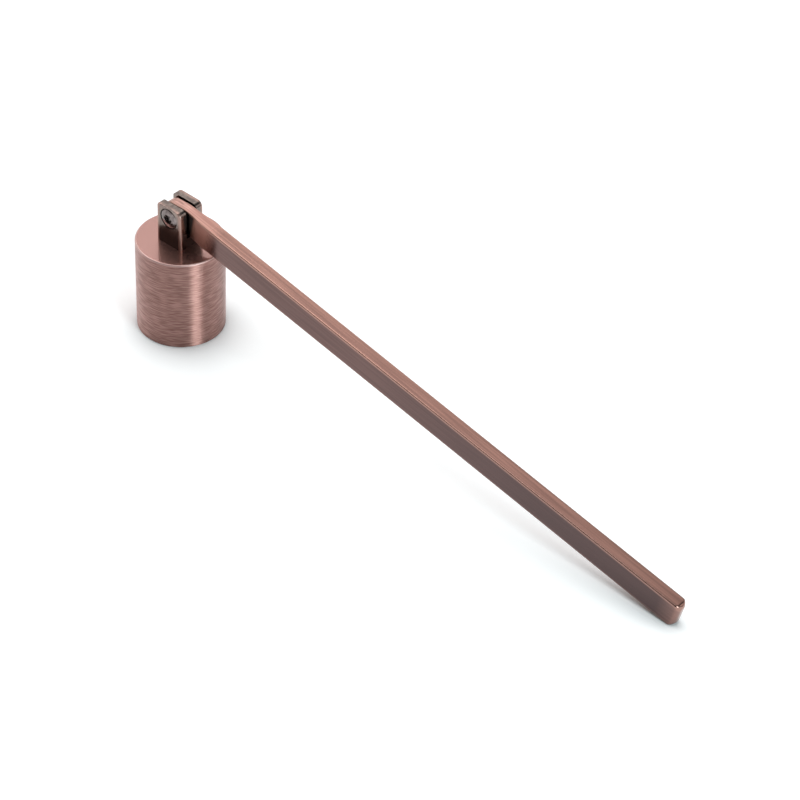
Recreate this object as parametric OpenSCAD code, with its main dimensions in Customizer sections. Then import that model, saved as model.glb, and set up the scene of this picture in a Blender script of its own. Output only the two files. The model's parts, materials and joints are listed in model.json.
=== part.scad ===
// Candle snuffer: a bell on a forked clevis, swinging on a screw at the end of a flat bar handle.
// The bell stands on the table on its mouth and the far end of the handle rests on the same table.
// The origin is on the bell's axis in the plane of its mouth, +Z is up and the handle runs along +X.

/* [Bell] */
// Outer diameter of the bell
bell_diameter = 24; // [20:0.5:34]
// Height of the bell from its mouth to its flat top
bell_height = 27.6; // [20:0.2:45]
// Thickness of the bell's wall
bell_wall = 1.2; // [0.8:0.1:2]
// Thickness of the bell's top
bell_top = 1.8; // [1.2:0.1:3]
// Radius of the edge between the bell's wall and its top
bell_edge_radius = 0.4; // [0.2:0.05:0.8]
// Radius of the corner between wall and ceiling inside the bell
bell_inner_radius = 1; // [0.4:0.1:2]
// Chamfer on both edges of the bell's mouth
bell_lip_chamfer = 0.2; // [0.1:0.05:0.35]

/* [Clevis] */
// Length of the clevis along the handle
clevis_length = 8.6; // [7.6:0.1:12]
// Thickness of each ear
ear_thickness = 2.3; // [2.2:0.1:4]
// Height of the solid foot under the slot
clevis_foot = 3; // [2:0.1:6]
// Radius of the ears' upper corners, seen from the side
ear_corner_radius = 1; // [0.5:0.1:2]
// Radius of the clevis's outer edges
clevis_edge_radius = 0.25; // [0.1:0.05:0.45]
// Metal left over the screw head's counterbore
ear_margin = 0.4; // [0.3:0.05:2]

/* [Handle] */
// Length from the pivot to the far end of the handle
handle_length = 170; // [120:1:240]
// Height of the handle's bar
bar_height = 7.4; // [6:0.1:9]
// Width of the handle's bar
bar_width = 3.8; // [3.2:0.1:6]
// Radius of the long edges of the bar
bar_edge_radius = 0.35; // [0.1:0.05:0.6]
// Radius of the corners at the far end of the bar
bar_end_radius = 1.2; // [0.5:0.1:1.4]
// Thickness of the tongue between the ears
tongue_thickness = 2.8; // [2:0.1:3]
// How far the tongue reaches past the pivot
tongue_reach = 4.3; // [4:0.1:5]
// Radius of the tongue's rounded nose
nose_radius = 2.7; // [2:0.1:2.9]
// Distance from the pivot to the point where the nose starts to taper
taper_start = 2.5; // [1.5:0.1:4]
// Length over which the tongue widens into the bar
flare_length = 5.2; // [2:0.1:12]

/* [Pivot screw] */
// Diameter of both screws
screw_diameter = 3; // [2:0.1:3.2]
// Diameter of the pivot screw's head
pivot_head_diameter = 5.4; // [4.6:0.1:5.8]
// Height of the pivot screw's head
pivot_head_height = 1.3; // [0.9:0.1:1.5]
// Size across the flats of the hexagon socket
socket_flats = 2.5; // [1.5:0.1:3]
// Depth of the hexagon socket
socket_depth = 0.8; // [0.4:0.1:0.9]

/* [Clevis screw and washer] */
// Diameter of the pan head inside the bell
pan_head_diameter = 5.6; // [5:0.1:6.5]
// Height of the pan head
pan_head_height = 2; // [1.4:0.1:3]
// Radius of the pan head's rounded edge
pan_head_radius = 0.9; // [0.4:0.1:1.2]
// Length of each arm of the cross recess, tip to tip
cross_length = 3; // [2:0.1:3.6]
// Width of each arm of the cross recess
cross_width = 0.6; // [0.4:0.05:0.8]
// Depth of the cross recess
cross_depth = 1.1; // [0.6:0.1:1.2]
// Outer diameter of the split lock washer
washer_diameter = 6.2; // [5.6:0.1:7]
// Thickness of the split lock washer
washer_thickness = 0.8; // [0.5:0.1:1.2]
// Width of the split in the lock washer
washer_split = 0.5; // [0.3:0.1:0.8]

/* [Clearances] */
// Radial clearance of a screw in a plain hole
running_clearance = 0.08; // [0.03:0.01:0.1]
// Radial clearance of a screw in a tapped hole
thread_clearance = 0.02; // [0.01:0.01:0.04]
// Radial clearance of the pivot screw's head in its counterbore
head_clearance = 0.2; // [0.1:0.05:0.4]
// How far the pivot screw's head and tip lie below the faces of the ears
screw_recess = 0.15; // [0.05:0.05:0.3]
// Gap between the tongue and each ear
tongue_clearance = 0.5; // [0.3:0.05:0.8]
// Gap between the nose of the tongue and the floor of the slot
nose_clearance = 1.2; // [0.6:0.1:3]
// Gap between the ears' reach and the start of the widening of the tongue
flare_clearance = 0.1; // [0.1:0.1:1]
// Gap between the tip of the clevis screw and the floor of the slot
tip_clearance = 0.3; // [0.1:0.1:0.8]

/* [Hidden] */
$fn = 96;

// Every cut runs past its faces by this much
overrun = 1;
// Chamfer on the tips of the screws and on the edges of the pivot screw's head
screw_chamfer = 0.3;
// Lean of the split in the lock washer
split_angle = 20;
// Sides of the hexagon socket
socket_sides = 6;

bell_radius = bell_diameter / 2;
cavity_radius = bell_radius - bell_wall;
ceiling_z = bell_height - bell_top;
screw_radius = screw_diameter / 2;
plain_hole_radius = screw_radius + running_clearance;
tapped_hole_radius = screw_radius + thread_clearance;

// The slot is the tongue with a gap on both sides, between two ears
slot_width = tongue_thickness + 2 * tongue_clearance;
clevis_width = slot_width + 2 * ear_thickness;
counterbore_radius = pivot_head_diameter / 2 + head_clearance;
counterbore_depth = pivot_head_height + screw_recess;

// Heights of the slot's floor, the pivot and the ears' tops above the table
slot_floor_z = bell_height + clevis_foot;
pivot_z = slot_floor_z + nose_clearance + tongue_reach;
ear_rise = counterbore_radius + ear_margin;
ear_top_z = pivot_z + ear_rise;

// The tongue keeps its thickness as far as the ears' corners reach around the pivot
flare_start = norm([clevis_length / 2, ear_rise]) + flare_clearance;
flare_end = flare_start + flare_length;

// The handle slopes down until the rounded lower corner of its far end meets the table
end_corner_x = handle_length - bar_end_radius;
end_corner_z = bar_height / 2 - bar_end_radius;
end_corner_angle = atan2(end_corner_z, end_corner_x);
rest_slope = asin((pivot_z - bar_end_radius) / norm([end_corner_x, end_corner_z])) - end_corner_angle;

// Rectangle centred on the origin, with rounded corners
module rounded_rectangle(length, width, radius) {
    square([length - 2 * radius, width], center = true);
    square([length, width - 2 * radius], center = true);
    for (x = [-1, 1], y = [-1, 1])
        translate([x * (length / 2 - radius), y * (width / 2 - radius)])
            circle(r = radius);
}

// Half of a cup's section, from the axis outwards, with its upper outer corner rounded
module cup_section(radius, height, corner) {
    square([radius, height - corner]);
    square([radius - corner, height]);
    translate([radius - corner, height - corner])
        circle(r = corner);
}

// Corner cut off the mouth's section, its right angle at the given radius
module lip_cut(radius, outwards) {
    polygon([
        [radius + outwards * bell_lip_chamfer, 0],
        [radius - outwards * bell_lip_chamfer, 0],
        [radius + outwards * bell_lip_chamfer, 2 * bell_lip_chamfer],
    ]);
}

// Turned cup with a flat top, open at its mouth, with one hole for the screw that holds the clevis
module bell() {
    color("rosybrown")
        rotate_extrude()
            difference() {
                cup_section(bell_radius, bell_height, bell_edge_radius);
                cup_section(cavity_radius, ceiling_z, bell_inner_radius);
                square([plain_hole_radius, bell_height + overrun]);
                lip_cut(bell_radius, 1);
                lip_cut(cavity_radius, -1);
            }
}

// Clevis before it is bored: a square block with rounded edges and a slot through it along the handle
module slotted_block() {
    height = ear_top_z - bell_height;
    difference() {
        intersection() {
            translate([0, 0, bell_height])
                linear_extrude(height)
                    rounded_rectangle(clevis_length, clevis_width, clevis_edge_radius);
            translate([0, 0, bell_height])
                rotate([90, 0, 0])
                    linear_extrude(clevis_width + overrun, center = true)
                        rounded_rectangle(clevis_length, 2 * height, ear_corner_radius);
            translate([0, 0, bell_height])
                rotate([90, 0, 90])
                    linear_extrude(clevis_length + overrun, center = true)
                        rounded_rectangle(clevis_width, 2 * height, clevis_edge_radius);
        }
        translate([-clevis_length, -slot_width / 2, slot_floor_z])
            cube([2 * clevis_length, slot_width, height]);
    }
}

// Forked block on the bell: plain hole with counterbore in one ear, tapped holes in the other and the foot
module clevis() {
    near_face = clevis_width / 2;
    color("dimgray")
        difference() {
            slotted_block();
            translate([0, 0, pivot_z])
                rotate([90, 0, 0]) {
                    cylinder(r = plain_hole_radius, h = near_face + overrun);
                    translate([0, 0, near_face - counterbore_depth])
                        cylinder(r = counterbore_radius, h = counterbore_depth + overrun);
                    translate([0, 0, -near_face - overrun])
                        cylinder(r = tapped_hole_radius, h = near_face + overrun);
                }
            translate([0, 0, bell_height - overrun])
                cylinder(r = tapped_hole_radius, h = clevis_foot + 2 * overrun);
        }
}

// Screw shank from its chamfered tip at zero up to the given length
module shank(length) {
    cylinder(r1 = screw_radius - screw_chamfer, r2 = screw_radius, h = screw_chamfer);
    translate([0, 0, screw_chamfer])
        cylinder(r = screw_radius, h = length - screw_chamfer);
}

// Low-headed socket screw that the tongue turns on, its head in the near ear and its tip in the far one
module pivot_screw() {
    head_radius = pivot_head_diameter / 2;
    socket_radius = socket_flats / 2 / cos(180 / socket_sides);
    reach = clevis_width / 2 - screw_recess;
    color("gray")
        translate([0, 0, pivot_z])
            rotate([90, 0, 0])
                difference() {
                    union() {
                        translate([0, 0, -reach])
                            shank(2 * reach - pivot_head_height);
                        translate([0, 0, reach - pivot_head_height])
                            cylinder(r = head_radius, h = pivot_head_height - screw_chamfer);
                        translate([0, 0, reach - screw_chamfer])
                            cylinder(r1 = head_radius, r2 = head_radius - screw_chamfer, h = screw_chamfer);
                    }
                    translate([0, 0, reach - socket_depth])
                        cylinder(r = socket_radius, h = socket_depth + overrun, $fn = socket_sides);
                }
}

// Pan-headed screw that comes up through the bell's top and holds the clevis down on it
module clevis_screw() {
    seat_z = ceiling_z - washer_thickness;
    tip_z = slot_floor_z - tip_clearance;
    color("silver")
        difference() {
            union() {
                translate([0, 0, tip_z])
                    mirror([0, 0, 1])
                        shank(tip_z - seat_z);
                translate([0, 0, seat_z])
                    mirror([0, 0, 1])
                        rotate_extrude()
                            intersection() {
                                cup_section(pan_head_diameter / 2, pan_head_height, pan_head_radius);
                                square([pan_head_diameter, pan_head_height]);
                            }
            }
            translate([0, 0, seat_z - pan_head_height])
                for (turn = [0, 90])
                    rotate(turn)
                        cube([cross_length, cross_width, 2 * cross_depth], center = true);
        }
}

// Split spring washer between the pan head and the bell's ceiling
module lock_washer() {
    inner_radius = plain_hole_radius;
    outer_radius = washer_diameter / 2;
    color("silver")
        translate([0, 0, ceiling_z - washer_thickness])
            difference() {
                cylinder(r = outer_radius, h = washer_thickness);
                translate([0, 0, -overrun])
                    cylinder(r = inner_radius, h = washer_thickness + 2 * overrun);
                translate([outer_radius, 0, washer_thickness / 2])
                    rotate([split_angle, 0, 0])
                        cube([2 * outer_radius, washer_split, 3 * washer_thickness], center = true);
            }
}

// Side view of the handle, pivot at the origin: tapered round nose, straight bar, rounded far corners
module handle_side() {
    nose_x = nose_radius - tongue_reach;
    half = bar_height / 2;
    taper_angle = atan2(half, taper_start - nose_x) + acos(nose_radius / norm([half, taper_start - nose_x]));
    touch_x = nose_x + nose_radius * cos(taper_angle);
    touch_z = nose_radius * sin(taper_angle);
    polygon([
        [touch_x, -touch_z],
        [taper_start, -half],
        [end_corner_x, -half],
        [handle_length, -end_corner_z],
        [handle_length, end_corner_z],
        [end_corner_x, half],
        [taper_start, half],
        [touch_x, touch_z],
    ]);
    translate([nose_x, 0])
        circle(r = nose_radius);
    for (side = [-1, 1])
        translate([end_corner_x, side * end_corner_z])
            circle(r = bar_end_radius);
}

// Plan view of the handle, pivot at the origin: thin tongue, widening, bar, rounded far corners
module handle_plan() {
    half = bar_width / 2;
    half_tongue = tongue_thickness / 2;
    corner_y = half - bar_end_radius;
    polygon([
        [-tongue_reach - overrun, -half_tongue],
        [flare_start, -half_tongue],
        [flare_end, -half],
        [end_corner_x, -half],
        [handle_length, -corner_y],
        [handle_length, corner_y],
        [end_corner_x, half],
        [flare_end, half],
        [flare_start, half_tongue],
        [-tongue_reach - overrun, half_tongue],
    ]);
    for (side = [-1, 1])
        translate([end_corner_x, side * corner_y])
            circle(r = bar_end_radius);
}

// Flat bar with a thinner tongue at one end, bored for the pivot screw, sloping down to the table
module handle() {
    color("rosybrown")
        translate([0, 0, pivot_z])
            rotate([0, rest_slope, 0])
                difference() {
                    intersection() {
                        rotate([90, 0, 0])
                            linear_extrude(bar_width + overrun, center = true)
                                handle_side();
                        linear_extrude(bar_height + overrun, center = true)
                            handle_plan();
                        translate([-tongue_reach - overrun, 0, 0])
                            rotate([90, 0, 90])
                                linear_extrude(tongue_reach + handle_length + 2 * overrun)
                                    rounded_rectangle(bar_width, bar_height, bar_edge_radius);
                    }
                    rotate([90, 0, 0])
                        cylinder(r = plain_hole_radius, h = bar_width + overrun, center = true);
                }
}

bell();
clevis();
clevis_screw();
lock_washer();
pivot_screw();
handle();
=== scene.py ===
import json
import math

import bmesh
import bpy
from mathutils import Matrix, Vector


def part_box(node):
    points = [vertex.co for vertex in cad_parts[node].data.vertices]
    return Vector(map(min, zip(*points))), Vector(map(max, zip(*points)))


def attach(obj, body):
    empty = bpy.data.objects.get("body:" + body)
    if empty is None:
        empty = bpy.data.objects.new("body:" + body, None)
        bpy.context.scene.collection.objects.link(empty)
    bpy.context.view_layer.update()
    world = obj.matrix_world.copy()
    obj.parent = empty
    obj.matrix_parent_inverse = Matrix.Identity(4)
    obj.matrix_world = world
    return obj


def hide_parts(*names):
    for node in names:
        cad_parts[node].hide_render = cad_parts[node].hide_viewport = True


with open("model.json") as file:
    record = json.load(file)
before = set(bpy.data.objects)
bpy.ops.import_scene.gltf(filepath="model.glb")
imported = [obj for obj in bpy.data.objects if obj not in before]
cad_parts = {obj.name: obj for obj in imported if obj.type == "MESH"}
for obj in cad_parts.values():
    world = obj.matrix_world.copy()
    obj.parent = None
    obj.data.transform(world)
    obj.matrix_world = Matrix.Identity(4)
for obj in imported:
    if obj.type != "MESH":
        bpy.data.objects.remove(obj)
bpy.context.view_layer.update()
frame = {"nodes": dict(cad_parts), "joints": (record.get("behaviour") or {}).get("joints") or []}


# Camera
# The photograph looks down on the snuffer from in front of its handle, through a long lens and rolled a
# little. Its place was worked out from the object's outline: the bell's two rims, the bar's long edges and
# the clevis.

MM = 0.001
PHOTO_PIXELS = 800
FOCAL_PIXELS = 2545
CAMERA_PITCH = math.radians(40.82)
CAMERA_ROLL = math.radians(3.41)
CAMERA_AZIMUTH = math.radians(38.70)
# Where the middle of the bell's top lies: left of the line of sight, above it and in front of the lens
BELL_TOP_SEEN = Vector((-57.9, 42.7, -670.8)) * MM

bell_top_middle = Vector((0, 0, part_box("bell")[1].z))
camera_turn = (
    Matrix.Rotation(CAMERA_AZIMUTH, 4, "Z")
    @ Matrix.Rotation(math.pi / 2 - CAMERA_PITCH, 4, "X")
    @ Matrix.Rotation(CAMERA_ROLL, 4, "Z")
)
camera_data = bpy.data.cameras.new("camera")
camera_data.sensor_width = 36
camera_data.lens = FOCAL_PIXELS / PHOTO_PIXELS * camera_data.sensor_width
camera_data.clip_start = 0.01
camera_data.clip_end = 20
camera = bpy.data.objects.new("camera", camera_data)
camera.matrix_world = Matrix.Translation(bell_top_middle - camera_turn @ BELL_TOP_SEEN) @ camera_turn
bpy.context.scene.collection.objects.link(camera)
bpy.context.scene.camera = camera


# Studio
# A pale floor that runs into a bright backdrop behind the object, under a softbox that hangs above and
# behind it, with a narrow cool softbox at the front right and a weak one at the right. The room behind the
# camera is dark, and the metal shows it.

FLOOR_SIDE = 6.0
FLOOR_TONE = 0.8
FLOOR_GLOW_SEEN = 0.46
FLOOR_GLOW_REACH = 0.022
# How open the floor's surroundings are where its glow starts, and where it is full
FLOOR_GLOW_STARTS = 0.45
FLOOR_GLOW_FULL = 0.85
ROOM_LEVEL = 0.07
BACKDROP_LEVEL = 1.3
BACKDROP_SEEN = 1.0
BACKDROP_AZIMUTH = -24
BACKDROP_ELEVATION = 22
BACKDROP_INNER_ANGLE = 34
BACKDROP_OUTER_ANGLE = 72
DAYLIGHT = (1.0, 1.0, 1.0)
COOL_DAYLIGHT = (0.82, 1.0, 1.04)
SCENE_MIDDLE = Vector((0.06, 0, 0.02))
SOFTBOX_DISTANCE = 1.0


def studio_direction(azimuth, elevation):
    """A direction in degrees: to the right of where the camera looks, and above the floor."""
    turn = CAMERA_AZIMUTH - math.radians(azimuth)
    rise = math.radians(elevation)
    return Vector((-math.sin(turn) * math.cos(rise), math.cos(turn) * math.cos(rise), math.sin(rise)))


def new_material(name):
    """A material with an empty node tree: returns it, its nodes, its links and its output node."""
    material = bpy.data.materials.new(name)
    material.use_nodes = True
    nodes, links = material.node_tree.nodes, material.node_tree.links
    nodes.clear()
    return material, nodes, links, nodes.new("ShaderNodeOutputMaterial")


def map_range(nodes, links, value, from_min, from_max, to_min, to_max):
    """A value moved from one range to another, and held inside it."""
    node = nodes.new("ShaderNodeMapRange")
    node.inputs["From Min"].default_value = from_min
    node.inputs["From Max"].default_value = from_max
    node.inputs["To Min"].default_value = to_min
    node.inputs["To Max"].default_value = to_max
    links.new(value, node.inputs["Value"])
    return node.outputs["Result"]


def make_floor():
    mesh = bpy.data.meshes.new("floor")
    half = FLOOR_SIDE / 2
    corners = [(-half, -half, 0), (half, -half, 0), (half, half, 0), (-half, half, 0)]
    mesh.from_pydata(corners, [], [(0, 1, 2, 3)])
    floor = bpy.data.objects.new("floor", mesh)
    bpy.context.scene.collection.objects.link(floor)
    material, nodes, links, output = new_material("pale_floor")
    paper = nodes.new("ShaderNodeBsdfDiffuse")
    paper.inputs["Color"].default_value = (FLOOR_TONE, FLOOR_TONE, FLOOR_TONE, 1)
    # The glow is seen by the camera and in the metal's reflections, and lights no dull surface
    seen = nodes.new("ShaderNodeLightPath")
    seen_or_mirrored = nodes.new("ShaderNodeMath")
    seen_or_mirrored.operation = "MAXIMUM"
    links.new(seen.outputs["Is Camera Ray"], seen_or_mirrored.inputs[0])
    links.new(seen.outputs["Is Glossy Ray"], seen_or_mirrored.inputs[1])
    # The glow fades close to the object, so that the floor keeps its soft shadow
    open_floor = nodes.new("ShaderNodeAmbientOcclusion")
    open_floor.samples = 8
    open_floor.inputs["Distance"].default_value = FLOOR_GLOW_REACH
    open_share = open_floor.outputs["AO"]
    open_glow = map_range(nodes, links, open_share, FLOOR_GLOW_STARTS, FLOOR_GLOW_FULL, 0, FLOOR_GLOW_SEEN)
    glow_strength = nodes.new("ShaderNodeMath")
    glow_strength.operation = "MULTIPLY"
    links.new(seen_or_mirrored.outputs[0], glow_strength.inputs[0])
    links.new(open_glow, glow_strength.inputs[1])
    glow = nodes.new("ShaderNodeEmission")
    links.new(glow_strength.outputs[0], glow.inputs["Strength"])
    both = nodes.new("ShaderNodeAddShader")
    links.new(paper.outputs[0], both.inputs[0])
    links.new(glow.outputs[0], both.inputs[1])
    links.new(both.outputs[0], output.inputs["Surface"])
    mesh.materials.append(material)


def make_world():
    world = bpy.data.worlds.new("studio")
    bpy.context.scene.world = world
    world.use_nodes = True
    nodes, links = world.node_tree.nodes, world.node_tree.links
    nodes.clear()
    direction = nodes.new("ShaderNodeTexCoord")
    backwards = nodes.new("ShaderNodeVectorMath")
    backwards.operation = "DOT_PRODUCT"
    backwards.inputs[1].default_value = studio_direction(BACKDROP_AZIMUTH, BACKDROP_ELEVATION)
    level = nodes.new("ShaderNodeMapRange")
    level.interpolation_type = "SMOOTHSTEP"
    level.inputs["From Min"].default_value = math.cos(math.radians(BACKDROP_OUTER_ANGLE))
    level.inputs["From Max"].default_value = math.cos(math.radians(BACKDROP_INNER_ANGLE))
    level.inputs["To Min"].default_value = ROOM_LEVEL
    level.inputs["To Max"].default_value = BACKDROP_LEVEL
    seen = nodes.new("ShaderNodeLightPath")
    strength = nodes.new("ShaderNodeMix")
    strength.inputs["B"].default_value = BACKDROP_SEEN
    background = nodes.new("ShaderNodeBackground")
    output = nodes.new("ShaderNodeOutputWorld")
    links.new(direction.outputs["Generated"], backwards.inputs[0])
    links.new(backwards.outputs["Value"], level.inputs["Value"])
    links.new(seen.outputs["Is Camera Ray"], strength.inputs["Factor"])
    links.new(level.outputs["Result"], strength.inputs["A"])
    links.new(strength.outputs["Result"], background.inputs["Strength"])
    links.new(background.outputs[0], output.inputs["Surface"])


def softbox(name, width, height, azimuth, elevation, brightness, colour=DAYLIGHT):
    """An area lamp facing the object. A lamp looks as bright as a quarter of its power over its area."""
    towards = studio_direction(azimuth, elevation)
    lamp = bpy.data.lights.new(name, "AREA")
    lamp.shape = "RECTANGLE"
    lamp.size = width
    lamp.size_y = height
    lamp.color = colour
    lamp.energy = brightness * 4 * width * height
    box = bpy.data.objects.new(name, lamp)
    box.location = SCENE_MIDDLE + towards * SOFTBOX_DISTANCE
    box.rotation_euler = (-towards).to_track_quat("-Z", "Y").to_euler()
    bpy.context.scene.collection.objects.link(box)


make_floor()
make_world()
softbox("back_softbox", width=0.9, height=0.9, azimuth=-38, elevation=70, brightness=1.3)
softbox(
    "front_strip", width=0.36, height=0.8, azimuth=139, elevation=24, brightness=5.7, colour=COOL_DAYLIGHT,
)
softbox("right_softbox", width=0.6, height=0.5, azimuth=85, elevation=24, brightness=0.65)
bpy.context.scene.view_settings.view_transform = "Standard"


# Bell
# A turned cup of plated steel with a flat top and one hole for the screw that holds the clevis. The wall is
# brushed round and round on the lathe, the top is faced, and the inside is left rough and darker in colour.

BELL_TURN_STEPS = 256
BELL_EDGE_RADIUS = 0.4 * MM
BELL_LIP_CHAMFER = 0.2 * MM
BELL_INNER_RADIUS = 1.0 * MM
BELL_WALL = 1.2 * MM
BELL_TOP = 1.8 * MM
BELL_HOLE_RADIUS = 1.58 * MM
ARC_STEPS = 8
# A point nearer to the axis than this is on it
ON_AXIS = 1e-9
SHARP_ANGLE = math.radians(38)
# How much of the grooves' height is hairlines, and between which heights the colour changes
HAIRLINE_SHARE = 0.35
STREAK_LOW = 0.35
STREAK_HIGH = 0.65
# The metal stretches its highlights across its grooves: a quarter turn from them
ACROSS_GROOVES = 0.25
LACQUER_ROUGHNESS = 0.22
WALL_COPPER = (0.31, 0.15, 0.125, 1)
WALL_COPPER_LIGHT = (0.49, 0.266, 0.23, 1)
WALL_STREAK = (2.6 * MM, 2.6 * MM, 0.22 * MM)
WALL_HAIRLINE = (3 * MM, 3 * MM, 0.1 * MM)
WALL_GROOVE_DEPTH = 0.04 * MM
FACED_COPPER = (0.46, 0.268, 0.24, 1)
FACED_COPPER_LIGHT = (0.47, 0.235, 0.197, 1)
FACED_FLECK = (0.1 * MM, 0.1 * MM, 0.07 * MM)
FACED_SPECK = (0.06 * MM, 0.06 * MM, 0.04 * MM)
FACED_GROOVE_DEPTH = 0.0002 * MM
# The rim's copper is lighter: it is rubbed, and the lighter colour is also a painted highlight on its
# rounding
RIM_SHEEN_COPPER = (0.5, 0.31, 0.28, 1)
RIM_SHEEN_COPPER_LIGHT = (0.62, 0.41, 0.38, 1)
RIM_STREAK = (6 * MM, 6 * MM, 0.4 * MM)
RIM_HAIRLINE = (6 * MM, 6 * MM, 0.12 * MM)
RIM_GROOVE_DEPTH = 0.006 * MM
INNER_COPPER = (0.13, 0.072, 0.06, 1)
INNER_COPPER_LIGHT = (0.21, 0.12, 0.1, 1)


def arc(centre, radius, start, end, steps=ARC_STEPS):
    """Points of an arc from one angle to another, in degrees."""
    angles = [math.radians(start + (end - start) * i / steps) for i in range(steps + 1)]
    return [(centre[0] + radius * math.cos(a), centre[1] + radius * math.sin(a)) for a in angles]


def running_length(points):
    """The distance along a row of points, from the first one."""
    lengths = [0.0]
    for before, after in zip(points, points[1:]):
        lengths.append(lengths[-1] + (Vector(after) - Vector(before)).length)
    return lengths


def lathe(name, profile, steps, closed=False):
    """A turned mesh about Z from points (radius, height). Its UV map has U along the turning marks."""
    shape = bmesh.new()
    grain = shape.loops.layers.uv.new("grain")
    lengths = running_length(profile + profile[:1])
    turns = [2 * math.pi * i / steps for i in range(steps)]
    rows = []
    for radius, height in profile:
        if radius < ON_AXIS:
            rows.append([shape.verts.new((0, 0, height))] * steps)
        else:
            ring = [(radius * math.cos(turn), radius * math.sin(turn), height) for turn in turns]
            rows.append([shape.verts.new(point) for point in ring])
    for row in range(len(profile) if closed else len(profile) - 1):
        upper, lower = rows[row], rows[(row + 1) % len(rows)]
        for i in range(steps):
            j = (i + 1) % steps
            corners = [
                (upper[i], i, row),
                (lower[i], i, row + 1),
                (lower[j], i + 1, row + 1),
                (upper[j], i + 1, row),
            ]
            # A corner on the axis stands in the list twice, and is taken once
            corners = [c for n, c in enumerate(corners) if c[0] not in [k[0] for k in corners[:n]]]
            face = shape.faces.new([c[0] for c in corners])
            for loop, (vert, turn, level) in zip(face.loops, corners):
                loop[grain].uv = (turn / steps, lengths[level] / lengths[-1])
    return finished_mesh(name, shape)


def finished_mesh(name, shape):
    """A mesh from a working shape, with its faces turned outwards."""
    bmesh.ops.recalc_face_normals(shape, faces=shape.faces)
    mesh = bpy.data.meshes.new(name)
    shape.to_mesh(mesh)
    shape.free()
    return mesh


def place(name, mesh, *materials):
    """Puts a mesh in the scene as a smooth object whose flat faces stay flat."""
    mesh.shade_smooth()
    mesh.set_sharp_from_angle(angle=SHARP_ANGLE)
    mesh.materials.clear()
    for material in materials:
        mesh.materials.append(material)
    piece = bpy.data.objects.new(name, mesh)
    bpy.context.scene.collection.objects.link(piece)
    weighted = piece.modifiers.new("flat_faces_stay_flat", "WEIGHTED_NORMAL")
    weighted.keep_sharp = True
    return piece


def add_brushed_grain():
    """A node group: fine grooves, long one way and thin the other, as a mask of streaks and a height."""
    group = bpy.data.node_groups.new("brushed_grain", "ShaderNodeTree")
    for socket_name in ("Vector", "Streak Size", "Hairline Size"):
        group.interface.new_socket(socket_name, in_out="INPUT", socket_type="NodeSocketVector")
    for socket_name in ("Streaks", "Height"):
        group.interface.new_socket(socket_name, in_out="OUTPUT", socket_type="NodeSocketFloat")
    nodes, links = group.nodes, group.links
    given, result = nodes.new("NodeGroupInput"), nodes.new("NodeGroupOutput")

    def stretched_noise(size_name, detail):
        scaled = nodes.new("ShaderNodeVectorMath")
        scaled.operation = "DIVIDE"
        links.new(given.outputs["Vector"], scaled.inputs[0])
        links.new(given.outputs[size_name], scaled.inputs[1])
        noise = nodes.new("ShaderNodeTexNoise")
        noise.inputs["Scale"].default_value = 1
        noise.inputs["Detail"].default_value = detail
        links.new(scaled.outputs[0], noise.inputs["Vector"])
        return noise.outputs["Fac"]

    height = nodes.new("ShaderNodeMix")
    height.inputs["Factor"].default_value = HAIRLINE_SHARE
    links.new(stretched_noise("Streak Size", detail=0), height.inputs["A"])
    links.new(stretched_noise("Hairline Size", detail=1), height.inputs["B"])
    streaks = map_range(nodes, links, height.outputs["Result"], STREAK_LOW, STREAK_HIGH, 0, 1)
    links.new(streaks, result.inputs["Streaks"])
    links.new(height.outputs["Result"], result.inputs["Height"])
    return group


brushed_grain = add_brushed_grain()


def mix_colours(nodes, links, factor, first, second):
    """A colour between two, each either a colour or a socket, by a socket's value."""
    mix = nodes.new("ShaderNodeMix")
    mix.data_type = "RGBA"
    links.new(factor, mix.inputs["Factor"])
    for name, colour in (("A", first), ("B", second)):
        socket = next(s for s in mix.inputs if s.name == name and s.type == "RGBA")
        if isinstance(colour, tuple):
            socket.default_value = colour
        else:
            links.new(colour, socket)
    return next(s for s in mix.outputs if s.type == "RGBA")


def brushed_metal(nodes, links, anisotropy, lacquer, lacquer_roughness):
    """A metal shader under lacquer, with its grooves along the U direction of the piece's own UV map."""
    shader = nodes.new("ShaderNodeBsdfPrincipled")
    shader.inputs["Metallic"].default_value = 1
    shader.inputs["Anisotropic"].default_value = anisotropy
    shader.inputs["Anisotropic Rotation"].default_value = ACROSS_GROOVES
    shader.inputs["Coat Weight"].default_value = lacquer
    shader.inputs["Coat Roughness"].default_value = lacquer_roughness
    tangent = nodes.new("ShaderNodeTangent")
    tangent.direction_type = "UV_MAP"
    tangent.uv_map = "grain"
    links.new(tangent.outputs[0], shader.inputs["Tangent"])
    return shader


def grain_at(nodes, links, position, streak, hairline):
    """The brushed grain's streaks and height at a position. Its sizes are along three directions."""
    grain = nodes.new("ShaderNodeGroup")
    grain.node_tree = brushed_grain
    grain.inputs["Streak Size"].default_value = streak
    grain.inputs["Hairline Size"].default_value = hairline
    links.new(position, grain.inputs["Vector"])
    return grain.outputs["Streaks"], grain.outputs["Height"]


def bump(nodes, links, height, shader, depth):
    """Gives a shader grooves of a certain depth."""
    node = nodes.new("ShaderNodeBump")
    node.inputs["Strength"].default_value = 1
    node.inputs["Distance"].default_value = depth
    links.new(height, node.inputs["Height"])
    links.new(node.outputs["Normal"], shader.inputs["Normal"])


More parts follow.
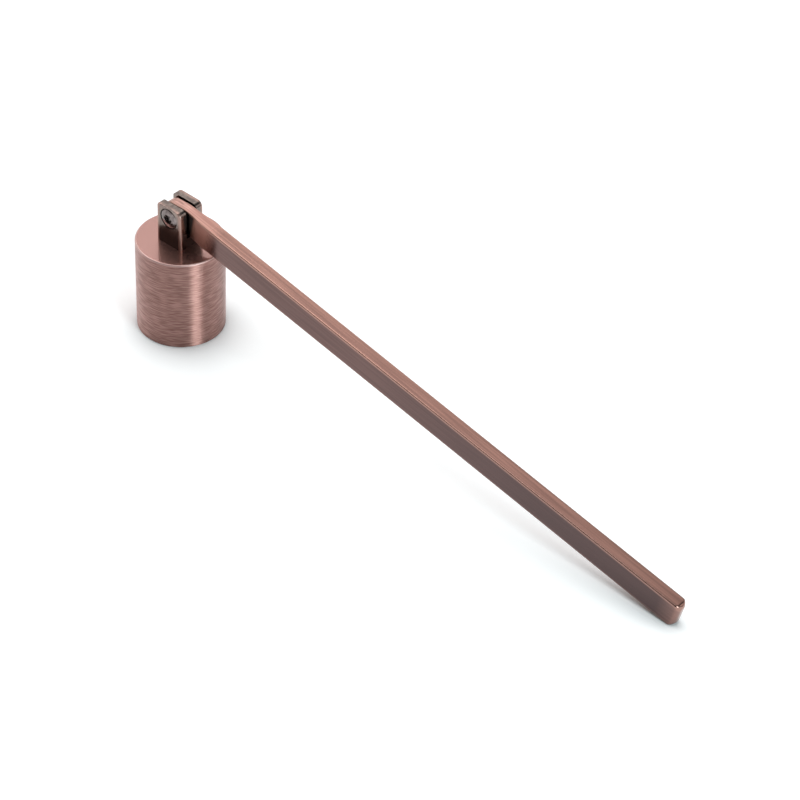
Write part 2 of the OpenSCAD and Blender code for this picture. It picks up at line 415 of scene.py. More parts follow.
def turned_position(nodes, links):
    """A position whose third number runs across turned grooves: height less distance from the axis."""
    place_on_piece = nodes.new("ShaderNodeTexCoord")
    apart = nodes.new("ShaderNodeSeparateXYZ")
    links.new(place_on_piece.outputs["Object"], apart.inputs[0])
    flat = nodes.new("ShaderNodeCombineXYZ")
    radius = nodes.new("ShaderNodeVectorMath")
    radius.operation = "LENGTH"
    links.new(flat.outputs[0], radius.inputs[0])
    across = nodes.new("ShaderNodeMath")
    across.operation = "SUBTRACT"
    links.new(apart.outputs["Z"], across.inputs[0])
    links.new(radius.outputs["Value"], across.inputs[1])
    turned = nodes.new("ShaderNodeCombineXYZ")
    for joined in (flat, turned):
        links.new(apart.outputs["X"], joined.inputs["X"])
        links.new(apart.outputs["Y"], joined.inputs["Y"])
    links.new(across.outputs[0], turned.inputs["Z"])
    return turned.outputs[0]


def make_turned_copper(
    name, colours, rough, depth, streak, hairline, lacquer, anisotropy, rough_between=(0, 1)
):
    """Copper plate turned on a lathe: two colours, two roughnesses and the grooves' depth and sizes.

    The roughness changes between two values of the streaks, and the colour over all of them.
    """
    material, nodes, links, output = new_material(name)
    shader = brushed_metal(nodes, links, anisotropy, lacquer, LACQUER_ROUGHNESS)
    streaks, height = grain_at(nodes, links, turned_position(nodes, links), streak, hairline)
    links.new(mix_colours(nodes, links, streaks, *colours), shader.inputs["Base Color"])
    links.new(map_range(nodes, links, streaks, *rough_between, *rough), shader.inputs["Roughness"])
    bump(nodes, links, height, shader, depth)
    links.new(shader.outputs[0], output.inputs["Surface"])
    return material


def make_bell():
    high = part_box("bell")[1]
    radius, top = high.x, high.z
    cavity, ceiling = radius - BELL_WALL, top - BELL_TOP
    outside = [(BELL_HOLE_RADIUS, top), (radius - 2 * BELL_EDGE_RADIUS, top)]
    outside += arc((radius - BELL_EDGE_RADIUS, top - BELL_EDGE_RADIUS), BELL_EDGE_RADIUS, 90, 0)
    outside += [(radius, top - 2 * BELL_EDGE_RADIUS), (radius, 2 * BELL_LIP_CHAMFER)]
    outside += [(radius, BELL_LIP_CHAMFER), (radius - BELL_LIP_CHAMFER, 0)]
    inside = [(cavity + BELL_LIP_CHAMFER, 0), (cavity, BELL_LIP_CHAMFER), (cavity, 2 * BELL_LIP_CHAMFER)]
    inside += arc((cavity - BELL_INNER_RADIUS, ceiling - BELL_INNER_RADIUS), BELL_INNER_RADIUS, 0, 90)
    inside += [(BELL_HOLE_RADIUS, ceiling)]
    mesh = lathe("bell_cup", outside + inside, BELL_TURN_STEPS, closed=True)
    wall = make_turned_copper(
        "brushed_wall_copper", (WALL_COPPER, WALL_COPPER_LIGHT), rough=(0.46, 0.38),
        depth=WALL_GROOVE_DEPTH, streak=WALL_STREAK, hairline=WALL_HAIRLINE, lacquer=0.4, anisotropy=1.0,
    )
    # Smooth flecks give the top its sharp mirror image, and rough ones between them the haze over it
    faced = make_turned_copper(
        "faced_top_copper", (FACED_COPPER, FACED_COPPER_LIGHT), rough=(0.08, 0.5),
        depth=FACED_GROOVE_DEPTH, streak=FACED_FLECK, hairline=FACED_SPECK, lacquer=0.6, anisotropy=0.0,
        rough_between=(0.4, 0.75),
    )
    # The rim's rounding is rubbed lighter, which is also a painted highlight
    rim = make_turned_copper(
        "rubbed_rim_sheen_copper", (RIM_SHEEN_COPPER, RIM_SHEEN_COPPER_LIGHT), rough=(0.5, 0.4),
        depth=RIM_GROOVE_DEPTH, streak=RIM_STREAK, hairline=RIM_HAIRLINE, lacquer=0.4, anisotropy=0.0,
    )
    dull = make_turned_copper(
        "dull_inner_copper", (INNER_COPPER, INNER_COPPER_LIGHT), rough=(0.6, 0.5),
        depth=WALL_GROOVE_DEPTH, streak=RIM_STREAK, hairline=RIM_HAIRLINE, lacquer=0.0, anisotropy=0.3,
    )
    piece = place("bell_cup", mesh, wall, faced, rim, dull)
    wall_slot, faced_slot, rim_slot, dull_slot = range(len(mesh.materials))
    for face in mesh.polygons:
        middle = face.center
        reach = math.hypot(middle.x, middle.y)
        face.material_index = wall_slot
        if reach < cavity + BELL_LIP_CHAMFER / 2 and middle.z < top - BELL_TOP / 4:
            face.material_index = dull_slot
        elif middle.z > top - BELL_EDGE_RADIUS and reach > radius - BELL_EDGE_RADIUS:
            face.material_index = rim_slot
        elif middle.z > top - BELL_EDGE_RADIUS:
            face.material_index = faced_slot
    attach(piece, "bell_head")
    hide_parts("bell")


make_bell()


# Handle
# One flat steel bar, copper plated and brushed lengthwise, with softened edges and a rounded far end. Its
# near end is ground down on both sides to a thin tongue with a round nose, bored for the pivot screw.

PIVOT = Vector(frame["joints"][0]["pos_m"])
BAR_HEIGHT = 7.4 * MM
BAR_WIDTH = 3.8 * MM
BAR_LENGTH = 170 * MM
BAR_EDGE_RADIUS = 0.3 * MM
BAR_EDGE_STEPS = 6
BAR_END_RADIUS = 1.2 * MM
BAR_END_CORNER = 1.6 * MM
BAR_END_STEPS = 14
BAR_BORE_RADIUS = 1.58 * MM
BAR_STEP = 4 * MM
TONGUE_WIDTH = 2.8 * MM
TONGUE_EDGE_RADIUS = 0.2 * MM
TONGUE_REACH = 4.3 * MM
NOSE_RADIUS = 2.7 * MM
NOSE_TIP_ANGLE = 8
NOSE_STEPS = 20
TAPER_START = 2.5 * MM
TAPER_BLEND = 1.2 * MM
TAPER_BLEND_STEPS = 8
FLARE_START = 5.52 * MM
FLARE_END = 10.72 * MM
FLARE_STEPS = 14
FLARE_POWER = 1.7
# An edge's radius is at most this share of half the height or half the width there
ROUNDEST_OF_HEIGHT = 0.6
ROUNDEST_OF_WIDTH = 0.9
# Where a flat face has lines of points along it, as shares of the way across
FLAT_FACE_LINES = (0.08, 0.5, 0.92)
ROD_STEPS = 64
BAR_COPPER = (0.33, 0.173, 0.14, 1)
BAR_COPPER_LIGHT = (0.46, 0.243, 0.195, 1)
# The sides are a dark patina, which also paints their shade: they are darker than the top and bottom faces
BAR_SIDE_PATINA_SHADE = (0.115, 0.06, 0.054, 1)
BAR_SIDE_PATINA_SHADE_LIGHT = (0.15, 0.08, 0.072, 1)
# Painted shade for the far part of the sides and edges
BAR_FAR_SIDE_SHADE = (0.075, 0.043, 0.042, 1)
# The bar's edges are rubbed lighter, which is also a painted highlight along them
BAR_RUBBED_EDGE_SHEEN = (0.44, 0.24, 0.19, 1)
BAR_FAR_EDGE_SHADE = (0.33, 0.182, 0.148, 1)
TONGUE_COPPER = (0.33, 0.165, 0.135, 1)
TONGUE_COPPER_LIGHT = (0.6, 0.345, 0.285, 1)
# Painted shade: the tongue's sides in the slot between the ears
TONGUE_SIDE_SHADE = (0.03, 0.02, 0.018, 1)
# Painted reflection: lighter copper on the side behind the tongue, for the bell's top mirrored there
SHOULDER_PAINTED_REFLECTION = (0.38, 0.185, 0.145, 1)
BAR_STREAK = (20 * MM, 0.6 * MM, 0.6 * MM)
BAR_HAIRLINE = (10 * MM, 0.18 * MM, 0.18 * MM)
BAR_GROOVE_DEPTH = 0.02 * MM
BAR_SIDE_ROUGHNESS = 0.13
SHOULDER_ROUGHNESS = 0.32
BAR_EDGE_ROUGHER = 0.14
# The tongue's top is ground bright, and its sides are painted black as the shade of the slot between the
# ears.
# The shoulder behind them is painted lighter copper as the bell's top mirrored in it, and the far end is
# rubbed lighter where it rubs on the table, which is also a painted highlight
GROUND_END = 6 * MM
PATINA_START = 13 * MM
SIDE_REFLECTION_FULL_TO = 11 * MM
SIDE_REFLECTION_GONE = 15 * MM
SLOT_SHADE_FADES_FROM = 5.6 * MM
SLOT_SHADE_GONE = 6.3 * MM
# Painted shade: the sides and edges darken towards the far end, for the bar's own shadow on the table that
# they mirror
FAR_SHADE_START = 60 * MM
FAR_SHADE_END = 125 * MM
FAR_SHADE_SHARE = 0.8
# The far end is rubbed lighter on the table, and the lighter copper is also a painted highlight on its
# rounding
RUBBED_SHEEN_START = 164 * MM
RUBBED_SHEEN_END = 169 * MM
RUBBED_SHEEN_SHARE = 0.35
END_WEAR_AND_SHEEN = 0.5
# The lower edges get this share of the rubbed, partly painted highlight
LOWER_EDGE_WEAR_AND_SHEEN = 0.3

# The handle slopes down until the rounded lower corner of its far end meets the table
end_corner = Vector((BAR_LENGTH - BAR_END_RADIUS, BAR_HEIGHT / 2 - BAR_END_RADIUS))
end_corner_angle = math.atan2(end_corner.y, end_corner.x)
rest_slope = math.asin((PIVOT.z - BAR_END_RADIUS) / end_corner.length) - end_corner_angle
bar_place = Matrix.Translation(PIVOT) @ Matrix.Rotation(rest_slope, 4, "Y")


def smooth_share(value, start, end):
    """0 before start, 1 after end and an even curve between them."""
    share = min(max((value - start) / (end - start), 0), 1)
    return share * share * (3 - 2 * share)


def bar_outline():
    """Half of the bar's side view, from the tip of the nose to its far end, as (distance, half height)."""
    half = BAR_HEIGHT / 2
    nose_x = NOSE_RADIUS - TONGUE_REACH
    across = TAPER_START - nose_x
    lean = math.degrees(math.atan2(half, across) + math.acos(NOSE_RADIUS / math.hypot(half, across)))
    outline = arc((nose_x, 0), NOSE_RADIUS, 180 - NOSE_TIP_ANGLE, lean, NOSE_STEPS)
    outline[0] = (-TONGUE_REACH, outline[0][1])
    touch = Vector(outline[-1])
    corner = Vector((TAPER_START, half))
    start = corner + (touch - corner).normalized() * TAPER_BLEND
    end = corner + Vector((TAPER_BLEND, 0))
    for step in range(TAPER_BLEND_STEPS + 1):
        share = step / TAPER_BLEND_STEPS
        bend = start.lerp(corner, share).lerp(corner.lerp(end, share), share)
        outline.append((bend.x, bend.y))
    flare = FLARE_END - FLARE_START
    outline += [(FLARE_START + flare * i / FLARE_STEPS, half) for i in range(FLARE_STEPS + 1)]
    plain = BAR_LENGTH - BAR_END_CORNER - FLARE_END
    bar_steps = round(plain / BAR_STEP)
    outline += [(FLARE_END + plain * i / bar_steps, half) for i in range(1, bar_steps + 1)]
    outline.append((BAR_LENGTH - (BAR_END_RADIUS + BAR_END_CORNER) / 2, half))
    end_middle = (BAR_LENGTH - BAR_END_RADIUS, half - BAR_END_RADIUS)
    outline += arc(end_middle, BAR_END_RADIUS, 90, 0, BAR_END_STEPS)
    return outline


def bar_section(distance, half_height):
    """The bar's cross-section at a distance from the pivot: its half width and the radius of its edges."""
    # The tongue widens at once behind the ears, and runs out smoothly into the bar
    short = min(max((FLARE_END - distance) / (FLARE_END - FLARE_START), 0), 1)
    flare = 1 - short**FLARE_POWER
    half_width = (TONGUE_WIDTH + (BAR_WIDTH - TONGUE_WIDTH) * flare) / 2
    edge = TONGUE_EDGE_RADIUS + (BAR_EDGE_RADIUS - TONGUE_EDGE_RADIUS) * flare
    past = distance - (BAR_LENGTH - BAR_END_CORNER)
    if past > 0:
        half_width -= BAR_END_CORNER - math.sqrt(max(BAR_END_CORNER**2 - past**2, 0))
        edge += (BAR_END_RADIUS - edge) * smooth_share(past, 0, BAR_END_CORNER)
    return half_width, min(edge, half_height * ROUNDEST_OF_HEIGHT, half_width * ROUNDEST_OF_WIDTH)


def loft(name, sections, edge_steps, lower_wear_and_sheen=1.0):
    """A mesh through rounded rectangles, one behind another along X.

    A section is (distance, half width, half height, edge radius, wear and sheen, shift upwards). The mesh
    keeps
    two marks for its material: "edge", how far a place is rubbed lighter, which is also a painted
    highlight, and
    "top", on the upper and lower faces. The flat faces are rubbed by their section's share, the upper edges
    fully and the lower edges by the share given for them.
    """
    shape = bmesh.new()
    grain = shape.loops.layers.uv.new("grain")
    wear_and_sheen_mark = shape.verts.layers.float.new("edge")
    top_mark = shape.verts.layers.float.new("top")
    rows = []
    for distance, half_width, half_height, edge, wear_and_sheen, shift in sections:
        row = []
        inner_width, inner_height = half_width - edge, half_height - edge
        for quarter, (side, rise) in enumerate(((1, 1), (-1, 1), (-1, -1), (1, -1))):
            corner_middle = (side * inner_width, rise * inner_height)
            corner = arc(corner_middle, edge, 90 * quarter, 90 * quarter + 90, edge_steps)
            for y, z in corner:
                vert = shape.verts.new((distance, y, z + shift))
                vert[wear_and_sheen_mark] = 1 if rise > 0 else lower_wear_and_sheen
                row.append(vert)
            upper_or_lower = quarter % 2 == 0
            if upper_or_lower:
                next_corner = Vector((distance, -side * inner_width, rise * half_height))
            else:
                next_corner = Vector((distance, side * half_width, -rise * inner_height))
            for share in FLAT_FACE_LINES:
                on_face = Vector((distance, *corner[-1])).lerp(next_corner, share)
                vert = shape.verts.new(on_face + Vector((0, 0, shift)))
                vert[top_mark] = upper_or_lower
                vert[wear_and_sheen_mark] = wear_and_sheen
                row.append(vert)
        rows.append(row)
    count = len(rows[0])
    for near, far in zip(rows, rows[1:]):
        for i in range(count):
            j = (i + 1) % count
            face = shape.faces.new((near[i], near[j], far[j], far[i]))
            for loop, turn in zip(face.loops, (i, i + 1, i + 1, i)):
                loop[grain].uv = (loop.vert.co.x, turn / count)
    shape.faces.new(rows[0][::-1])
    shape.faces.new(rows[-1])
    return finished_mesh(name, shape)


def rod(name, radius, start, end):
    """A plain rod along Y, for cutting a hole."""
    mesh = lathe(name, [(0, start), (radius, start), (radius, end), (0, end)], ROD_STEPS)
    mesh.transform(Matrix.Rotation(-math.pi / 2, 4, "X"))
    return mesh


def cut(mesh, *cutters):
    """The mesh with each cutter's shape taken out of it. The mesh and the cutters are deleted."""
    work = bpy.data.objects.new("work", mesh)
    bpy.context.scene.collection.objects.link(work)
    helpers = []
    for cutter in cutters:
        helper = bpy.data.objects.new("cutter", cutter)
        bpy.context.scene.collection.objects.link(helper)
        hole = work.modifiers.new("hole", "BOOLEAN")
        hole.operation = "DIFFERENCE"
        hole.solver = "EXACT"
        hole.object = helper
        helpers.append(helper)
    evaluated = work.evaluated_get(bpy.context.evaluated_depsgraph_get())
    result = bpy.data.meshes.new_from_object(evaluated)
    for helper in [work, *helpers]:
        used = helper.data
        bpy.data.objects.remove(helper)
        bpy.data.meshes.remove(used)
    return result


def mark(nodes, name):
    """The value of one of a mesh's own marks."""
    node = nodes.new("ShaderNodeAttribute")
    node.attribute_name = name
    return node.outputs["Fac"]


def add_values(nodes, links, first, second):
    """The sum of two sockets' values."""
    node = nodes.new("ShaderNodeMath")
    node.operation = "ADD"
    links.new(first, node.inputs[0])
    links.new(second, node.inputs[1])
    return node.outputs[0]


def make_bar_copper():
    material, nodes, links, output = new_material("handle_copper")
    shader = brushed_metal(nodes, links, anisotropy=0.7, lacquer=0.4, lacquer_roughness=0.2)
    place_on_piece = nodes.new("ShaderNodeTexCoord")
    along_bar = nodes.new("ShaderNodeMapping")
    along_bar.vector_type = "TEXTURE"
    along_bar.inputs["Location"].default_value = PIVOT
    along_bar.inputs["Rotation"].default_value = (0, rest_slope, 0)
    links.new(place_on_piece.outputs["Object"], along_bar.inputs["Vector"])
    streaks, height = grain_at(nodes, links, along_bar.outputs[0], BAR_STREAK, BAR_HAIRLINE)
    apart = nodes.new("ShaderNodeSeparateXYZ")
    links.new(along_bar.outputs[0], apart.inputs[0])

    def by_distance(start, end, near, far):
        return map_range(nodes, links, apart.outputs["X"], start, end, near, far)

    def mixed(factor, first, second):
        return mix_colours(nodes, links, factor, first, second)

    ground = by_distance(GROUND_END, PATINA_START, 1, 0)
    side_painted_reflection = by_distance(SIDE_REFLECTION_FULL_TO, SIDE_REFLECTION_GONE, 1, 0)
    out_of_slot_shade = by_distance(SLOT_SHADE_FADES_FROM, SLOT_SHADE_GONE, 0, 1)
    # Painted shade, growing towards the far end
    dull = by_distance(FAR_SHADE_START, FAR_SHADE_END, 0, FAR_SHADE_SHARE)
    # Rubbed far end, partly a painted highlight
    rubbed_and_sheen = by_distance(RUBBED_SHEEN_START, RUBBED_SHEEN_END, 0, RUBBED_SHEEN_SHARE)
    bright = mixed(streaks, BAR_COPPER, BAR_COPPER_LIGHT)
    # The sides' dark patina, partly painted shade
    dark = mixed(streaks, BAR_SIDE_PATINA_SHADE, BAR_SIDE_PATINA_SHADE_LIGHT)
    dark = mixed(dull, dark, BAR_FAR_SIDE_SHADE)
    dark = mixed(rubbed_and_sheen, dark, bright)
    # Painted reflection of the bell's top on the side behind the tongue
    dark = mixed(side_painted_reflection, dark, SHOULDER_PAINTED_REFLECTION)
    # Painted shade: the tongue's sides are black inside the slot
    dark = mixed(out_of_slot_shade, TONGUE_SIDE_SHADE, dark)
    bright = mixed(ground, bright, mixed(streaks, TONGUE_COPPER, TONGUE_COPPER_LIGHT))
    on_faces = mixed(mark(nodes, "top"), dark, bright)
    on_edges = mixed(dull, BAR_RUBBED_EDGE_SHEEN, BAR_FAR_EDGE_SHADE)
    # Rubbed edges, lighter partly as wear and partly as a painted highlight
    edge = mark(nodes, "edge")
    links.new(mixed(edge, on_faces, on_edges), shader.inputs["Base Color"])
    face_rough = map_range(nodes, links, side_painted_reflection, 0, 1, BAR_SIDE_ROUGHNESS, SHOULDER_ROUGHNESS)
    edge_rough = map_range(nodes, links, edge, 0, 1, 0, BAR_EDGE_ROUGHER)
    links.new(add_values(nodes, links, face_rough, edge_rough), shader.inputs["Roughness"])
    bump(nodes, links, height, shader, BAR_GROOVE_DEPTH)
    links.new(shader.outputs[0], output.inputs["Surface"])
    return material


def make_handle():
    sections = []
    for distance, half_height in bar_outline():
        half_width, edge = bar_section(distance, half_height)
        at_end = smooth_share(distance, BAR_LENGTH - BAR_END_CORNER, BAR_LENGTH - BAR_END_RADIUS / 2)
        sections.append((distance, half_width, half_height, edge, END_WEAR_AND_SHEEN * at_end, 0))
    mesh = loft("bar_handle", sections, BAR_EDGE_STEPS, LOWER_EDGE_WEAR_AND_SHEEN)
    mesh = cut(mesh, rod("bore", BAR_BORE_RADIUS, -BAR_WIDTH, BAR_WIDTH))
    mesh.name = "bar_handle"
    mesh.transform(bar_place)
    piece = place("bar_handle", mesh, make_bar_copper())
    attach(piece, "handle")
    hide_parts("handle")


make_handle()


# Clevis
# A square steel block, slotted through to make two ears, with a counterbore for the pivot screw's head in
# the near one. It is plated a dark bronze, and its edges are broken by tumbling, so they catch the light.
# Their lighter, rubbed colour is also a painted highlight, and low down the plate is painted dark as a
# reflection.

CLEVIS_SLOT = 3.8 * MM
CLEVIS_FOOT = 3.0 * MM
CLEVIS_CORNER_RADIUS = 1.6 * MM
CLEVIS_BACK_CORNER_RADIUS = 0.9 * MM
CLEVIS_CORNER_STEPS = 30
CLEVIS_SIDE_RADIUS = 0.45 * MM
CLEVIS_SIDE_STEPS = 8
CLEVIS_TOP_RADIUS = 0.12 * MM
CLEVIS_BROKEN_EDGE = 0.12 * MM
SHARPEST_UNBROKEN = math.radians(50)
COUNTERBORE_RADIUS = 3.0 * MM
COUNTERBORE_DEPTH = 1.45 * MM
PLAIN_HOLE_RADIUS = 1.58 * MM
TAPPED_HOLE_RADIUS = 1.52 * MM
BRONZE = (0.2, 0.155, 0.14, 1)
BRONZE_LIGHT = (0.28, 0.227, 0.2, 1)
# Painted dark reflection: the plate is darker low on the clevis, where its front mirrors the bell's dark
# top
BRONZE_PAINTED_DARK = (0.085, 0.066, 0.058, 1)
PAINTED_DARK_BELOW = 31.0 * MM
PAINTED_DARK_GONE_ABOVE = 35.0 * MM
# The rubbed edges are lighter, which is also a painted highlight on them
BRONZE_RUBBED_SHEEN = (0.38, 0.25, 0.215, 1)
BRONZE_RUBBED_SHEEN_LIGHT = (0.62, 0.46, 0.4, 1)
BRONZE_RUBBED_ROUGHER = 0.2
BRONZE_CLOUD = (0.9 * MM, 0.9 * MM, 1.6 * MM)
BRONZE_SPECK = (0.3 * MM, 0.3 * MM, 0.6 * MM)
BRONZE_GRAIN_DEPTH = 0.03 * MM


def make_bronze(name, colours, rough):
    """Bronze plate with a faint cloudy grain, in two colours and two roughnesses. It is rubbed lighter at
    its edges, which is also a painted highlight, and painted darker low down as a reflection.
    """
    material, nodes, links, output = new_material(name)
    shader = nodes.new("ShaderNodeBsdfPrincipled")
    shader.inputs["Metallic"].default_value = 1
    place_on_piece = nodes.new("ShaderNodeTexCoord")
    clouds, height = grain_at(nodes, links, place_on_piece.outputs["Object"], BRONZE_CLOUD, BRONZE_SPECK)
    apart = nodes.new("ShaderNodeSeparateXYZ")
    links.new(place_on_piece.outputs["Object"], apart.inputs[0])
    # Painted dark reflection low down
    clear_of_painted_dark = map_range(nodes, links, apart.outputs["Z"], PAINTED_DARK_BELOW, PAINTED_DARK_GONE_ABOVE, 0, 1)
    plate = mix_colours(nodes, links, clouds, *colours)
    plate = mix_colours(nodes, links, clear_of_painted_dark, BRONZE_PAINTED_DARK, plate)
    rubbed_and_sheen = mark(nodes, "edge")
    links.new(mix_colours(nodes, links, rubbed_and_sheen, plate, BRONZE_RUBBED_SHEEN), shader.inputs["Base Color"])
    plate_rough = map_range(nodes, links, clouds, 0, 1, *rough)
    rubbed_rough = map_range(nodes, links, rubbed_and_sheen, 0, 1, 0, BRONZE_RUBBED_ROUGHER)
    links.new(add_values(nodes, links, plate_rough, rubbed_rough), shader.inputs["Roughness"])
    bump(nodes, links, height, shader, BRONZE_GRAIN_DEPTH)
    links.new(shader.outputs[0], output.inputs["Surface"])
    return material


def box_mesh(name, low, high):
    """A plain box between two corners, for cutting a slot."""
    middle = Vector([(a + b) / 2 for a, b in zip(low, high)])
    sides = Vector([b - a for a, b in zip(low, high)])
    shape = bmesh.new()
    bmesh.ops.create_cube(shape, size=1)
    fit = Matrix.LocRotScale(middle, None, sides)
    bmesh.ops.transform(shape, matrix=fit, verts=shape.verts)
    return finished_mesh(name, shape)


def break_edges(piece, width, rubbed_sheen_slot):
    """Bevels a piece's sharp edges, in a lighter material of their own that is partly a painted highlight,
    before its normals are weighted.
    """
    broken = piece.modifiers.new("broken_edges", "BEVEL")
    broken.width = width
    broken.segments = 2
    broken.limit_method = "ANGLE"
    broken.angle_limit = SHARPEST_UNBROKEN
    broken.material = rubbed_sheen_slot
    piece.modifiers.move(len(piece.modifiers) - 1, 0)


def drawn_in(below_top, radius):
    """How far a corner's rounding lies in from the side, at a depth below the top."""
    return radius - math.sqrt(max(radius**2 - max(radius - below_top, 0) ** 2, 0))


def make_clevis():
    low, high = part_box("clevis")
    half_length, half_width = high.x, high.y
    levels = [low.z, low.z + CLEVIS_FOOT, high.z - CLEVIS_CORNER_RADIUS - CLEVIS_TOP_RADIUS]
    for step in range(CLEVIS_CORNER_STEPS):
        angle = math.radians(90 * step / CLEVIS_CORNER_STEPS)
        levels.append(high.z - CLEVIS_CORNER_RADIUS * (1 - math.sin(angle)))
    levels.append(high.z)
    sections = []
    for level in levels:
        below_top = high.z - level
        front = half_length - drawn_in(below_top, CLEVIS_CORNER_RADIUS)
        back = half_length - drawn_in(below_top, CLEVIS_BACK_CORNER_RADIUS)
        width = half_width - drawn_in(below_top, CLEVIS_TOP_RADIUS)
        # Painted highlight: the flat faces are rubbed lighter halfway round the top corners' rounding
        in_corner = 1 - min(below_top / CLEVIS_CORNER_RADIUS, 1)
        wear_and_sheen = in_corner * (1 - in_corner)
        sections.append((level, width, (front + back) / 2, CLEVIS_SIDE_RADIUS, wear_and_sheen, (back - front) / 2))
    block = loft("clevis_fork", sections, CLEVIS_SIDE_STEPS)
    # The loft runs along X with its height along Z: stood up, its height lies along the handle
    block.transform(Matrix(((0, 0, -1, 0), (0, 1, 0, 0), (1, 0, 0, 0), (0, 0, 0, 1))))
    reach = 2 * half_length
    half_slot = CLEVIS_SLOT / 2
    slot = box_mesh("slot", (-reach, -half_slot, low.z + CLEVIS_FOOT), (reach, half_slot, high.z + reach))
    cutters = [slot]
    for name, radius, start, end in (
        ("plain_hole", PLAIN_HOLE_RADIUS, -reach, 0),
        ("counterbore", COUNTERBORE_RADIUS, -reach, COUNTERBORE_DEPTH - half_width),
        ("tapped_hole", TAPPED_HOLE_RADIUS, 0, reach),
    ):
        hole = rod(name, radius, start, end)
        hole.transform(Matrix.Translation((0, 0, PIVOT.z)))
        cutters.append(hole)
    foot_hole = rod("foot_hole", TAPPED_HOLE_RADIUS, -CLEVIS_FOOT, 2 * CLEVIS_FOOT)
    foot_hole.transform(Matrix.Translation((0, 0, low.z)) @ Matrix.Rotation(math.pi / 2, 4, "X"))
    cutters.append(foot_hole)
    mesh = cut(block, *cutters)
    mesh.name = "clevis_fork"
    plate = make_bronze("clevis_bronze", (BRONZE, BRONZE_LIGHT), rough=(0.1, 0.18))
    rubbed_and_sheen = make_bronze("rubbed_bronze_edge_sheen", (BRONZE_RUBBED_SHEEN, BRONZE_RUBBED_SHEEN_LIGHT), rough=(0.3, 0.4))
    piece = place("clevis_fork", mesh, plate, rubbed_and_sheen)
    break_edges(piece, CLEVIS_BROKEN_EDGE, rubbed_sheen_slot=1)
    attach(piece, "bell_head")
    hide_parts("clevis")


make_clevis()


# Pivot screw
# A low, slightly domed screw head with a hexagon socket, which stands a little out of its counterbore in
# the near ear. The plating is bronze as on the clevis, but a key has rubbed it brighter, and the lighter
# edges of its socket are also a painted highlight. Its plain shank carries the handle and is screwed into
# the far ear.

HEAD_RADIUS = 2.9 * MM
HEAD_HEIGHT = 1.3 * MM
HEAD_DOME_RADIUS = 7.5 * MM
HEAD_DOME_STEPS = 12
HEAD_EDGE_RADIUS = 0.45 * MM
# How far the head's middle lies in front of the solid's head, which is sunk just below the ear's face
HEAD_RAISED = 0.6 * MM
SHANK_RADIUS = 1.5 * MM
SHANK_CHAMFER = 0.3 * MM
SCREW_TURN_STEPS = 96
SOCKET_SIDES = 6
SOCKET_WIDTH = 2.5 * MM
SOCKET_RADIUS = SOCKET_WIDTH / 2 / math.cos(math.pi / SOCKET_SIDES)
SOCKET_DEPTH = 0.8 * MM
SOCKET_POINT = 0.25 * MM
SOCKET_BROKEN_EDGE = 0.06 * MM
SCREW_BRONZE = (0.13, 0.105, 0.1, 1)
SCREW_BRONZE_LIGHT = (0.28, 0.235, 0.23, 1)


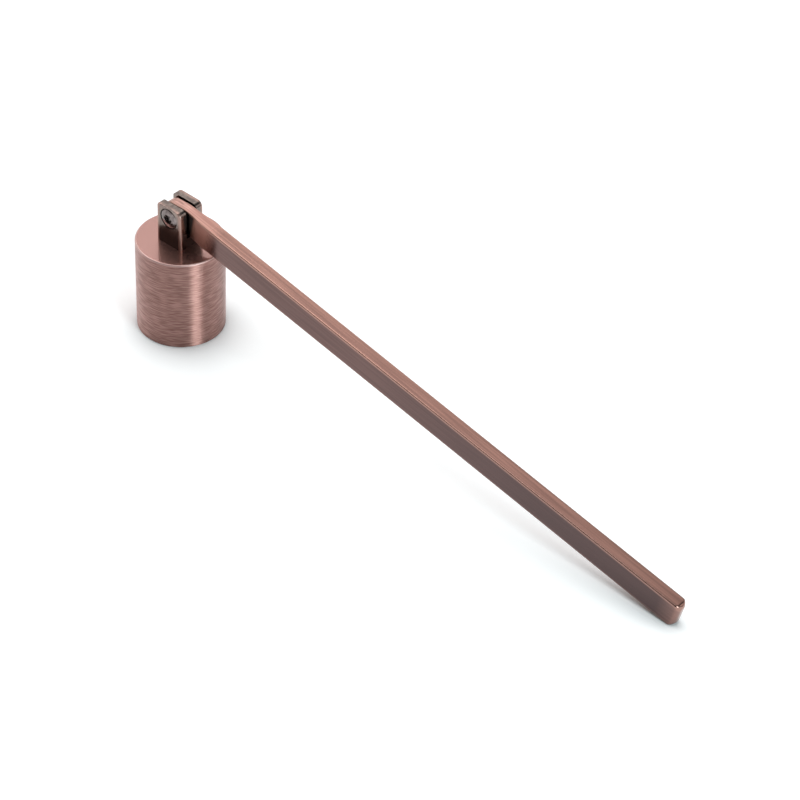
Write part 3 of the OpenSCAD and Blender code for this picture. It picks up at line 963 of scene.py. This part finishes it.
def make_pivot_screw():
    low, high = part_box("pivot_screw")
    face, tip = low.y - HEAD_RAISED, high.y
    head_end = low.y + HEAD_HEIGHT
    dome_middle = face + HEAD_DOME_RADIUS
    inner_radius = HEAD_DOME_RADIUS - HEAD_EDGE_RADIUS
    tilt = math.asin((HEAD_RADIUS - HEAD_EDGE_RADIUS) / inner_radius)
    edge_middle = (inner_radius * math.sin(tilt), dome_middle - inner_radius * math.cos(tilt))
    edge_start = math.degrees(tilt) - 90
    profile = arc((0, dome_middle), HEAD_DOME_RADIUS, -90, edge_start, HEAD_DOME_STEPS)
    profile += arc(edge_middle, HEAD_EDGE_RADIUS, edge_start, 0)[1:]
    profile += [(HEAD_RADIUS, head_end), (SHANK_RADIUS, head_end)]
    profile += [(SHANK_RADIUS, tip - SHANK_CHAMFER), (SHANK_RADIUS - SHANK_CHAMFER, tip), (0, tip)]
    body = lathe("pivot_screw_body", profile, SCREW_TURN_STEPS)
    outside, floor = face - HEAD_HEIGHT, face + SOCKET_DEPTH
    socket = [(0, outside), (SOCKET_RADIUS, outside), (SOCKET_RADIUS, floor), (0, floor + SOCKET_POINT)]
    mesh = cut(body, lathe("socket", socket, SOCKET_SIDES))
    mesh.name = "pivot_screw_body"
    mesh.transform(Matrix.Translation((0, 0, PIVOT.z)) @ Matrix.Rotation(-math.pi / 2, 4, "X"))
    bronze = make_bronze("screw_bronze", (SCREW_BRONZE, SCREW_BRONZE_LIGHT), rough=(0.14, 0.24))
    rubbed_and_sheen = make_bronze("rubbed_socket_edge_sheen", (BRONZE_RUBBED_SHEEN, BRONZE_RUBBED_SHEEN_LIGHT), rough=(0.25, 0.35))
    piece = place("pivot_screw_body", mesh, bronze, rubbed_and_sheen)
    break_edges(piece, SOCKET_BROKEN_EDGE, rubbed_sheen_slot=1)
    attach(piece, "bell_head")
    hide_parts("pivot_screw")


make_pivot_screw()


# Clevis screw and washer
# The pan-headed screw that holds the clevis from inside the bell, and the split washer under its head.
# Both are bright zinc-plated stock parts and their CAD shapes are right, so only their finish is made here.

ZINC = (0.496, 0.496, 0.512, 1)
ZINC_LIGHT = (0.62, 0.62, 0.64, 1)
ZINC_ROUGHNESS = (0.2, 0.3)
ZINC_GRAIN_DEPTH = 0.01 * MM
MOTTLES_PER_METRE = 900
MOTTLE_DETAIL = 4
MOTTLE_LOW = 0.3
MOTTLE_HIGH = 0.7


def make_zinc():
    material, nodes, links, output = new_material("bright_zinc")
    shader = nodes.new("ShaderNodeBsdfPrincipled")
    shader.inputs["Metallic"].default_value = 1
    place_on_piece = nodes.new("ShaderNodeTexCoord")
    mottle = nodes.new("ShaderNodeTexNoise")
    mottle.inputs["Scale"].default_value = MOTTLES_PER_METRE
    mottle.inputs["Detail"].default_value = MOTTLE_DETAIL
    links.new(place_on_piece.outputs["Object"], mottle.inputs["Vector"])
    mottles = mottle.outputs["Fac"]
    links.new(mix_colours(nodes, links, mottles, ZINC, ZINC_LIGHT), shader.inputs["Base Color"])
    rough = map_range(nodes, links, mottles, MOTTLE_LOW, MOTTLE_HIGH, *ZINC_ROUGHNESS)
    links.new(rough, shader.inputs["Roughness"])
    bump(nodes, links, mottles, shader, ZINC_GRAIN_DEPTH)
    links.new(shader.outputs[0], output.inputs["Surface"])
    return material


def finish_stock_parts():
    zinc = make_zinc()
    for node in ("clevis_screw", "lock_washer"):
        slots = frame["nodes"][node].data.materials
        slots.clear()
        slots.append(zinc)


finish_stock_parts()
